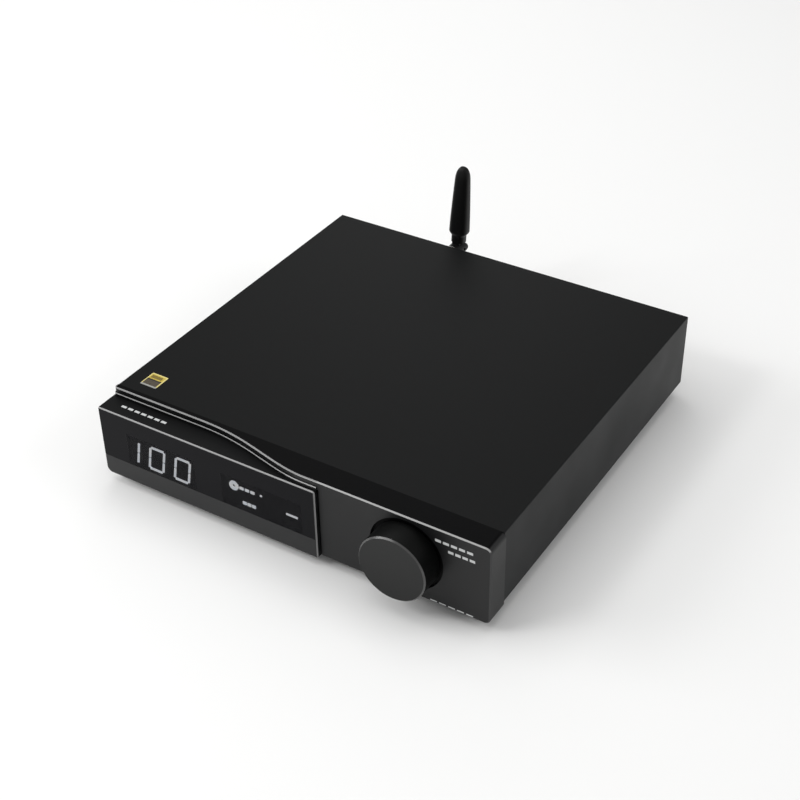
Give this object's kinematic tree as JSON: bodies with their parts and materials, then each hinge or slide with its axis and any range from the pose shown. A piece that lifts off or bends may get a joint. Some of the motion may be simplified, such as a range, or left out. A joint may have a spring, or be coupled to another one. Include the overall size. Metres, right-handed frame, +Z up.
{
  "type": "desktop dac",
  "caption": "Slim black desktop audio converter: metal sleeve case, wide display set under an S-shaped lip, large push-and-turn volume knob, rear sockets and a hinged aerial.",
  "frame": {"origin": "on the table, under the middle of the whole object, aerial and knob included", "axes": "+X to the right as seen from the front, +Y to the rear, +Z up"},
  "size_m": [0.188, 0.2152, 0.0779],
  "materials": {
    "case_black": "bead blasted, black anodised",
    "panel_black": "machined, black anodised, bright chamfers",
    "bezel_grey": "machined, dark grey anodised",
    "window_tint": "dark tinted acrylic, polished",
    "lit_white": "lit",
    "black_plastic": "moulded",
    "gloss_black_plastic": "moulded, semi-gloss",
    "print_white": "screen printed",
    "label_gold": "printed film",
    "knob_black": "turned face, black anodised",
    "sheet_steel": "zinc plated",
    "screw_black": "black zinc",
    "nickel": "nickel plated",
    "gold_plate": "gold plated",
    "foot_rubber": "matt",
    "rear_black": "fine powder coat",
    "board_black": "solder mask",
    "core_black": "lacquered",
    "can_black": "shrink sleeve",
    "chip_black": "moulded epoxy",
    "relay_white": "moulded",
    "wire_black": "jacket",
    "ribbon_white": "flat cable"
  },
  "bodies": {
    "root": {"case_sleeve": "case_black", "front_panel": "panel_black", "chassis_tray": "sheet_steel", "front_panel_screws": "sheet_steel", "rear_panel": "rear_black", "rear_panel_screws": "screw_black", "feet": "foot_rubber", "foot_screws": "screw_black", "case_label": "label_gold", "printed_marks": "print_white", "display_bezel": "bezel_grey", "display_window": "window_tint", "display_module": "black_plastic", "display_digits": "lit_white", "display_icons": "lit_white", "ir_receiver": "gloss_black_plastic", "display_board": "board_black", "display_board_screws": "sheet_steel", "encoder_body": "sheet_steel", "encoder_nut": "nickel", "xlr_housing_left": "black_plastic", "xlr_housing_right": "black_plastic", "xlr_inserts": "gloss_black_plastic", "xlr_pins": "gold_plate", "xlr_screws": "screw_black", "phono_barrels": "gold_plate", "phono_insulators": "gloss_black_plastic", "phono_contacts": "gold_plate", "optical_socket": "black_plastic", "usb_shell": "nickel", "usb_insert": "black_plastic", "link_shell": "nickel", "link_insert": "black_plastic", "mains_inlet": "black_plastic", "mains_pins": "nickel", "sma_socket": "gold_plate", "sma_nut": "gold_plate", "antenna_coupling": "nickel", "main_board": "board_black", "power_board": "board_black", "board_standoffs": "gold_plate", "board_screws": "sheet_steel", "power_transformer": "core_black", "filter_capacitors": "can_black", "converter_chips": "chip_black", "output_relays": "relay_white", "wireless_module": "nickel", "antenna_lead": "wire_black", "mains_wires": "wire_black", "ribbon_cable": "ribbon_white"},
    "switch_plunger": {"encoder_plunger": "black_plastic"},
    "volume_knob": {"knob": "knob_black", "knob_grub_screw": "screw_black", "encoder_shaft": "sheet_steel"},
    "shutter": {"optical_shutter": "black_plastic"},
    "antenna_base": {"antenna_knuckle": "black_plastic", "antenna_pin": "nickel"},
    "antenna_arm": {"antenna_whip": "black_plastic"}
  },
  "joints": [
    {"name": "knob_press", "type": "slide", "parent": "root", "child": "switch_plunger", "axis": [0, 1, 0], "range_m": [0, 0.0005], "stiffness_N_per_m": 800, "springref_m": -0.002},
    {"name": "knob_turn", "type": "hinge", "parent": "switch_plunger", "child": "volume_knob", "pos_m": [0.0569, -0.09675, 0.0245], "axis": [0, 1, 0], "continuous": true},
    {"name": "shutter_swing", "type": "hinge", "parent": "root", "child": "shutter", "pos_m": [-0.0435, 0.08625, 0.0256], "axis": [-1, 0, 0], "range_deg": [0, 85], "stiffness_Nm_per_rad": 0.0002, "springref_deg": -20.05},
    {"name": "antenna_swivel", "type": "hinge", "parent": "root", "child": "antenna_base", "pos_m": [-0.036, 0.09825, 0.032], "axis": [0, 1, 0], "range_deg": [-93.2, 86.8]},
    {"name": "antenna_tilt", "type": "hinge", "parent": "antenna_base", "child": "antenna_arm", "pos_m": [-0.036, 0.1037, 0.032], "axis": [-0.9984, 0, 0.0558], "range_deg": [0, 90]}
  ]
}
